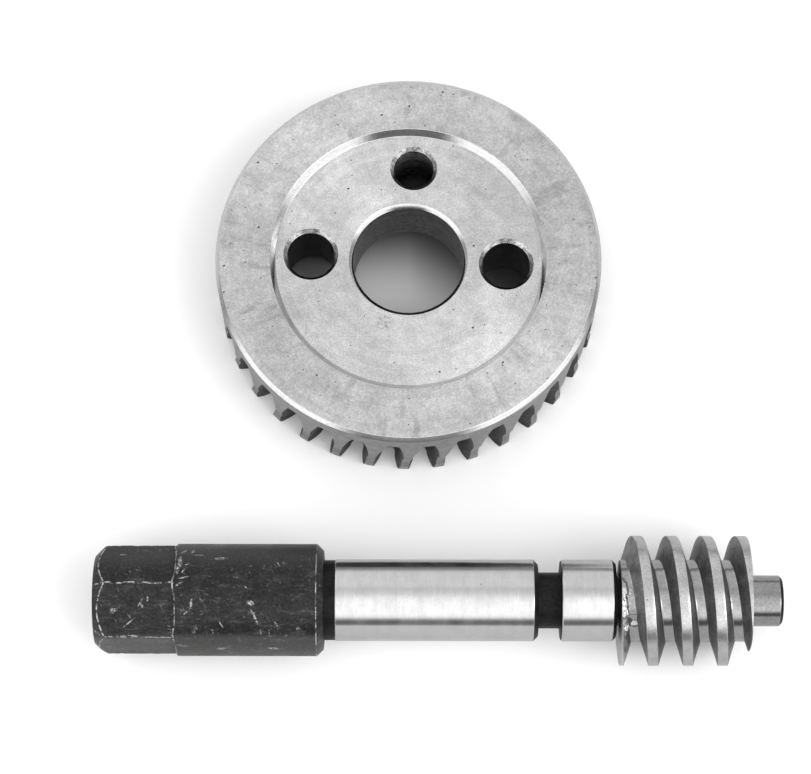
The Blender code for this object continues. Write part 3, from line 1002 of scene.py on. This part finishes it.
def ground_steel():
    """Bright cylindrically ground steel: very fine lines round the shaft and a soft sheen."""
    nodes = new_material("ground_steel")
    place = shaft_place(nodes)
    x, y, z = nodes.parts(place)
    unrolled = nodes.point(x, nodes.times(nodes.angle(y, z), 0.4))
    lines = nodes.noise(unrolled, 7.0, 4.0, 0.7)
    bands = nodes.noise(unrolled, 0.8, 2.0, 0.5)
    blotch = nodes.noise(place, 0.3, 4.0, 0.6)
    grain = nodes.noise(place, 7.0, 2.0, 0.6)
    pit = nodes.span(nodes.cells(place, 0.22)["Distance"], 0.05, 0.02)
    grey = nodes.times(
        nodes.vary(lines, 0.96, 1.04),
        nodes.span(blotch, 0.35, 0.65, 0.95, 1.03),
        nodes.vary(bands, 0.98, 1.02),
        nodes.vary(grain, 0.95, 1.05),
        nodes.where(pit, 0.58, 0.25),
    )
    normal = nodes.bump(lines, 0.003, 0.8)
    return nodes.turned_metal("X", 0.92, grey, nodes.vary(blotch, 0.20, 0.26), normal)


def pin_steel():
    """The plain end pin: turned smooth, darker than the journals, with a few pits."""
    nodes = new_material("pin_steel")
    place = shaft_place(nodes)
    grain = nodes.noise(place, 2.2, 4.0, 0.7)
    blotch = nodes.noise(place, 0.6, 3.0, 0.6)
    grey = nodes.times(
        nodes.vary(grain, 0.86, 1.12),
        nodes.vary(blotch, 0.92, 1.06),
        nodes.where(pits(nodes, place, 0.35, 0.25, 0.25), 0.31, 0.08),
    )
    return nodes.metal(grey, 0.16, nodes.bump(grain, 0.008, 0.6))


def worm_crest_steel():
    """The worm's turned crests and its darker, smoother root: light, speckled, lightly pitted."""
    nodes = new_material("worm_crest_steel")
    place = shaft_place(nodes)
    radius = nodes.hypot(*nodes.parts(place)[1:])
    speckle = nodes.noise(place, 2.6, 4.0, 0.7)
    blotch = nodes.noise(place, 0.5, 4.0, 0.6)
    grey = nodes.times(
        nodes.vary(speckle, 0.84, 1.1),
        nodes.span(blotch, 0.35, 0.65, 0.9, 1.05),
        nodes.span(radius, 9.0, 11.5, 0.37, 0.53),
        nodes.where(pits(nodes, place, 0.55, 0.20, 0.35), 1.0, 0.25),
    )
    grey = nodes.most(grey, nodes.times(burred_start(nodes), 0.85))
    normal = nodes.bump(speckle, 0.01, 0.6, nodes.rounded_normal(0.1))
    roughness = nodes.span(radius, 9.0, 11.5, 0.15, 0.27)
    return nodes.metal(grey, roughness, normal)


def scratches(nodes, place, scale, degrees):
    """Thin broken lines along one direction."""
    turned_place = nodes.turned_about_z(place, degrees)
    thin = nodes.noise(nodes.scaled(turned_place, (1.0, 0.14, 1.0)), scale, 2.0, 0.4)
    line = nodes.span(nodes.math("ABSOLUTE", nodes.minus(thin, 0.5)), 0.012, 0.0)
    return nodes.times(line, nodes.span(nodes.noise(turned_place, 0.35, 2.0), 0.60, 0.70))


def nearness(nodes, value, target, width):
    """1 where a value is at the target, falling to 0 a width away."""
    return nodes.span(nodes.math("ABSOLUTE", nodes.minus(value, target)), width, width * 0.4)


def rubbed_edges(nodes, place, x, angle, radius):
    """1 on the edges of the hex and the collar, where the black has worn off."""
    wander = nodes.vary(nodes.noise(place, 0.45, 2.0), -0.012, 0.012)
    from_first = nodes.minus(nodes.plus(angle, wander), math.radians(HEX_CORNER_ANGLE))
    from_corner = nodes.math("PINGPONG", from_first, math.radians(30.0))
    on_hex = nodes.math("LESS_THAN", x, HEX_END - 0.1)
    near_hex_end = nodes.math("LESS_THAN", x, HEX_START + 4.0)
    cone = nodes.minus(radius, nodes.plus(nodes.minus(x, HEX_START), HEX_FACE_RADIUS))
    bowed = nodes.plus(x, nodes.span(from_corner, 0.0, 0.35, 0.45, 0.0))
    return nodes.most(
        nodes.times(nodes.span(from_corner, 0.020, 0.008), on_hex),
        nodes.times(nearness(nodes, cone, -0.22, 0.17), near_hex_end),
        nearness(nodes, bowed, HEX_END + 0.05, 0.20),
        nearness(nodes, x, COLLAR_END - COLLAR_CHAMFER, 0.14),
    )


# The larger bright marks on the black: distance from the hex end, angle about the shaft from +Y
# towards +Z, length, width, and how steeply the mark rises to the right
SCUFFS = [
    (4.3, 116, 1.6, 0.9, 0),
    (5.6, 41, 1.6, 0.5, 0),
    (7.2, 131, 3.4, 0.30, 42),
    (7.4, 144, 4.2, 0.20, 1),
    (9.5, 107, 2.9, 0.28, 62),
    (10.9, 103, 1.2, 0.45, 85),
    (17.0, 62, 1.0, 3.6, 0),
    (16.6, 72, 0.7, 2.4, 0),
    (17.8, 73, 1.4, 0.45, 60),
    (18.4, 65, 1.2, 0.45, 30),
    (17.9, 81, 2.2, 0.40, 15),
    (16.9, 88, 1.8, 0.50, 35),
    (20.6, 52, 2.4, 0.35, 0),
    (17.6, 46, 1.8, 0.7, 50),
    (19.4, 45, 1.5, 0.8, 75),
    (19.4, 108, 2.4, 0.55, 84),
    (18.4, 117, 1.4, 0.35, 40),
    (24.9, 57, 3.0, 0.8, 5),
    (29.9, 91, 1.3, 0.30, -42),
    (30.9, 107, 1.7, 1.1, -15),
    (31.8, 123, 3.0, 0.45, -68),
    (25.2, 130, 2.0, 0.35, -60),
    (23.5, 138, 1.3, 0.25, -80),
    (32.8, 139, 1.6, 0.30, -80),
    (34.4, 138, 1.3, 0.25, -85),
    (35.8, 129, 1.6, 0.35, -60),
    (35.2, 163, 3.0, 1.0, -10),
    (24.9, 163, 2.0, 1.0, 5),
]


def scuff_marks(nodes, unrolled):
    """1 on the larger bright marks on the hex and the collar, with torn outlines."""
    marks = []
    for along, angle, length, width, rise in SCUFFS:
        middle = (HEX_START + along, math.radians(angle) * COLLAR_RADIUS, 0.0)
        from_middle = nodes.vector_math("SUBTRACT", unrolled, middle)
        fitted = nodes.scaled(nodes.turned_about_z(from_middle, rise), (2 / length, 2 / width, 0.0))
        distance = nodes.vector_math("LENGTH", fitted, output="Value")
        marks.append(nodes.span(distance, 1.1, 0.4))
    torn = nodes.span(nodes.noise(unrolled, 2.4, 4.0, 0.8), 0.44, 0.56)
    return nodes.times(nodes.most(*marks), torn)


def black_oxide():
    """Black oxide on steel: scratched and scuffed, rubbed bright along its edges, and with painted sheen on
    its front and back sides.
    """
    nodes = new_material("black_oxide")
    place = shaft_place(nodes)
    x, y, z = nodes.parts(place)
    radius = nodes.hypot(y, z)
    angle = nodes.angle(y, z)
    unrolled = nodes.point(x, nodes.times(angle, COLLAR_RADIUS))
    cloud = nodes.noise(place, 0.22, 4.0, 0.6)
    grain = nodes.noise(place, 3.0, 4.0, 0.7)
    fleck_noise = nodes.noise(place, 2.0, 4.0, 0.75)
    grey = nodes.times(nodes.vary(cloud, 0.6, 1.5), nodes.vary(grain, 0.5, 1.6), 0.008)
    scratched = nodes.most(scratches(nodes, unrolled, 0.5, 25.0), scratches(nodes, unrolled, 0.6, 75.0))
    flecks = nodes.times(nodes.span(fleck_noise, 0.60, 0.72), nodes.span(cloud, 0.45, 0.60))
    soft = nodes.span(nodes.noise(nodes.scaled(unrolled, (0.5, 1.3, 1.0)), 0.5, 5.0, 0.75), 0.50, 0.72)
    # Painted sheen: masks for the front and back sides of the hex and collar, which are made lighter as the
    # light falls on them.
    painted_sheen_front = nodes.span(y, -8.2, -9.3)
    painted_sheen_back = nodes.span(y, 3.0, 7.5)
    broken = nodes.span(nodes.noise(place, 0.9, 5.0, 0.8), 0.42, 0.58)
    # Wear marks and rubbed edges, together with the painted sheen on the front and back sides.
    overlay_share = nodes.most(
        nodes.times(scratched, 0.45),
        nodes.times(flecks, 0.45),
        scuff_marks(nodes, unrolled),
        nodes.times(soft, nodes.where(painted_sheen_front, 0.10, 0.30)),
        nodes.times(painted_sheen_front, 0.08),
        nodes.times(painted_sheen_back, 0.06),
        nodes.times(rubbed_edges(nodes, place, x, angle, radius), broken),
    )
    outside_the_grooves = nodes.span(radius, 8.2, 9.0)
    overlay_share = nodes.times(overlay_share, outside_the_grooves)
    colour = nodes.mix(overlay_share, grey, (0.50, 0.50, 0.49, 1.0))
    shine = nodes.times(nodes.vary(fleck_noise, 0.55, 1.5), nodes.span(radius, 8.0, 8.6, 0.2, 0.5))
    normal = nodes.bump(grain, 0.02, 0.5, nodes.rounded_normal(0.15))
    roughness = nodes.vary(cloud, 0.34, 0.46)
    return nodes.metal(colour, roughness, normal, Metallic=overlay_share, Specular_IOR_Level=shine, IOR=1.35)


def key_steel():
    """Bright drawn bar, with grain along it."""
    nodes = new_material("key_steel")
    place = nodes.place()
    grain = nodes.noise(nodes.scaled(place, (0.3, 2.0, 2.0)), 3.0, 3.0, 0.6)
    grey = nodes.vary(grain, 0.42, 0.56)
    return nodes.metal(grey, 0.32, nodes.bump(grain, 0.01))


def floor_material():
    """Matt white. It is brighter to the camera than to the steel, which mirrors it as a mid grey.

    Under the wheel it has painted shade, darker towards the back and the sides, where little light gets in.
    """
    nodes = new_material("studio_floor")
    x, y = nodes.parts(wheel_place(nodes))[:2]
    radius = nodes.hypot(x, y)
    # Painted shade under the wheel: 1 in the open, falling towards the back and the sides.
    sideways = nodes.times(nodes.math("ABSOLUTE", x), 0.30)
    inwards = nodes.plus(y, sideways, nodes.times(x, 0.20))
    painted_lighting = nodes.span(inwards, -3.0, 14.0, 1.0, FLOOR_PAINTED_SHADE)
    painted_lighting = nodes.most(painted_lighting, nodes.span(radius, RECESS_RADIUS, RECESS_RADIUS + 4.0))
    white = nodes.times(painted_lighting, FLOOR_TO_CAMERA)
    seen = nodes.add("ShaderNodeLightPath").outputs["Is Camera Ray"]
    colour = nodes.mix(seen, (FLOOR_TO_STEEL, FLOOR_TO_STEEL, FLOOR_TO_STEEL, 1.0), white)
    diffuse = nodes.add("ShaderNodeBsdfDiffuse", {"Color": colour})
    nodes.add("ShaderNodeOutputMaterial", {"Surface": diffuse.outputs[0]})
    return nodes.owner


# Studio


def brightness_by_height(nodes, height, stops):
    """Brightness of the studio by elevation in degrees, from stops of (elevation, brightness)."""
    ramp = nodes.add("ShaderNodeValToRGB", {"Fac": nodes.math("DIVIDE", height, 90.0)})
    elements = ramp.color_ramp.elements
    while len(elements) > 1:
        elements.remove(elements[-1])
    for index, (elevation, brightness) in enumerate(stops):
        element = elements[0] if index == 0 else elements.new(elevation / 90.0)
        element.position = elevation / 90.0
        element.color = (brightness, brightness, brightness, 1.0)
    return ramp.outputs["Color"]


def studio_light(nodes):
    """The light that the steel sees: high in front, lower at the front's corners, softer behind."""
    direction = nodes.add("ShaderNodeTexCoord").outputs["Generated"]
    x, y, z = nodes.parts(direction)
    to_degrees = math.degrees(1.0)
    height = nodes.most(nodes.times(nodes.math("ARCSINE", z), to_degrees), 0.0)
    bearing = nodes.times(nodes.angle(nodes.times(y, -1.0), x), to_degrees)
    from_front = nodes.math("ABSOLUTE", bearing)
    light = brightness_by_height(nodes, height, FRONT_LIGHT)
    for begins, complete, stops in LIGHTS_ROUND_THE_SIDE:
        share = nodes.span(from_front, begins, complete)
        light = nodes.mix(share, light, brightness_by_height(nodes, height, stops))
    brighter_left = nodes.times(nodes.span(y, 0.0, 0.5), nodes.span(x, -0.6, 0.6, 0.28, -0.22))
    light = nodes.scaled(light, nodes.plus(1.0, brighter_left))
    facing = nodes.vector_math("DOT_PRODUCT", direction, LAMP_DIRECTION, "Value")
    outer = math.cos(math.radians(LAMP_OUTER_ANGLE))
    inner = math.cos(math.radians(LAMP_INNER_ANGLE))
    return nodes.scaled(light, nodes.span(facing, outer, inner, 1.0, LAMP_BRIGHTNESS))


def make_studio():
    """Large soft lights all round, and plain white to the camera."""
    world = bpy.data.worlds.new("studio")
    bpy.context.scene.world = world
    nodes = Nodes(world)
    seen = nodes.add("ShaderNodeLightPath").outputs["Is Camera Ray"]
    light = nodes.mix(seen, studio_light(nodes), (1.0, 1.0, 1.0, 1.0))
    background = nodes.add("ShaderNodeBackground", {"Color": light, "Strength": 1.0})
    nodes.add("ShaderNodeOutputWorld", {"Surface": background.outputs[0]})


def make_floor():
    half = FLOOR_SIZE / 2
    shape = bmesh.new()
    corners = [(-half, -half, 0.0), (half, -half, 0.0), (half, half, 0.0), (-half, half, 0.0)]
    shape.faces.new([shape.verts.new(corner) for corner in corners])
    floor = make_object("studio_floor", shape)
    floor.location.z = -FLOOR_DROP * MM
    floor.data.materials.append(floor_material())


def make_camera():
    elevation = math.radians(CAMERA_ELEVATION)
    yaw = math.radians(CAMERA_YAW)
    level = Vector((math.sin(yaw), math.cos(yaw), 0.0))
    forward = level * math.cos(elevation) - Vector((0.0, 0.0, math.sin(elevation)))
    right = Vector((math.cos(yaw), -math.sin(yaw), 0.0))
    up = right.cross(forward)
    turn = Matrix((right, up, -forward)).transposed().to_4x4()
    roll = Matrix.Rotation(math.radians(CAMERA_ROLL), 4, "Z")
    place = (CAMERA_TARGET - forward * CAMERA_DISTANCE) * MM
    camera_data = bpy.data.cameras.new("camera")
    camera_data.lens = CAMERA_LENS
    camera_data.sensor_width = SENSOR_WIDTH
    camera_data.clip_start = CAMERA_NEAREST * MM
    camera = put_in_scene("camera", camera_data)
    camera.matrix_world = Matrix.Translation(place) @ turn @ roll
    bpy.context.scene.camera = camera


def main():
    bpy.context.scene.view_settings.view_transform = "Standard"
    pieces = [
        (make_wheel(), "wheel", "worm_wheel", "wheel_steel"),
        (make_shaft(), "shaft", "worm_shaft", "shaft_steel"),
        (make_worm(), "shaft", "worm", "worm_steel"),
    ]
    for piece, body, node, slot in pieces:
        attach(piece, body)
        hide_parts(node)
    key = frame["nodes"]["worm_key"]
    key.data.materials.clear()
    key.data.materials.append(key_steel())
    make_studio()
    make_floor()
    make_camera()


main()
